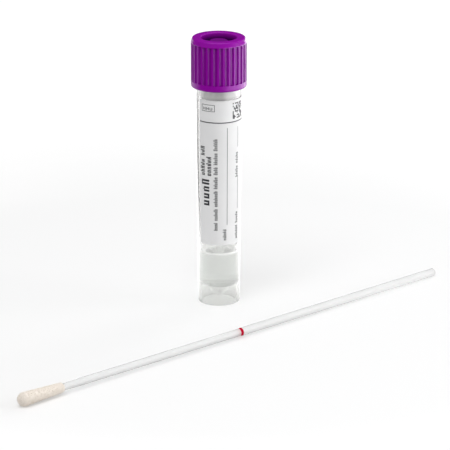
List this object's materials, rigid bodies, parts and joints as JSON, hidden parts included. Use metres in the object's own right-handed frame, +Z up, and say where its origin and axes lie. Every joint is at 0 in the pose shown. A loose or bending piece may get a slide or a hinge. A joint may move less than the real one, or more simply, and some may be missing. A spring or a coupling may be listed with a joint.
{
  "type": "specimen swab tube",
  "caption": "Skirted screw-cap specimen tube with a fluted cap, a wrap-round writing label and clear liquid, beside the flocked swab that goes into it.",
  "frame": {"origin": "centre of the tube's foot, on the table", "axes": "+Z up along the tube's axis, towards the cap; -Y is the side that the label is read from, and the swab lies across it"},
  "size_m": [0.1108, 0.1065, 0.074],
  "materials": {
    "natural_polypropylene": "moulded, translucent, satin",
    "violet_polypropylene": "moulded, opaque, satin gloss",
    "label_film": "matt white writing film with dark print",
    "transport_liquid": "clear liquid",
    "swab_plastic": "moulded, milky, smooth",
    "nylon_flock": "short upright nylon fibre, off-white"
  },
  "bodies": {
    "tube_and_swab": {"tube": "natural_polypropylene", "label": "label_film", "transport_medium": "transport_liquid", "swab_shaft": "swab_plastic", "flocked_tip": "nylon_flock"},
    "screw_cap": {"cap": "violet_polypropylene"}
  },
  "joints": [
    {"name": "cap_lift", "type": "slide", "parent": "tube_and_swab", "child": "screw_cap", "axis": [0, 0, 1], "range_m": [0, 0.02]}
  ]
}
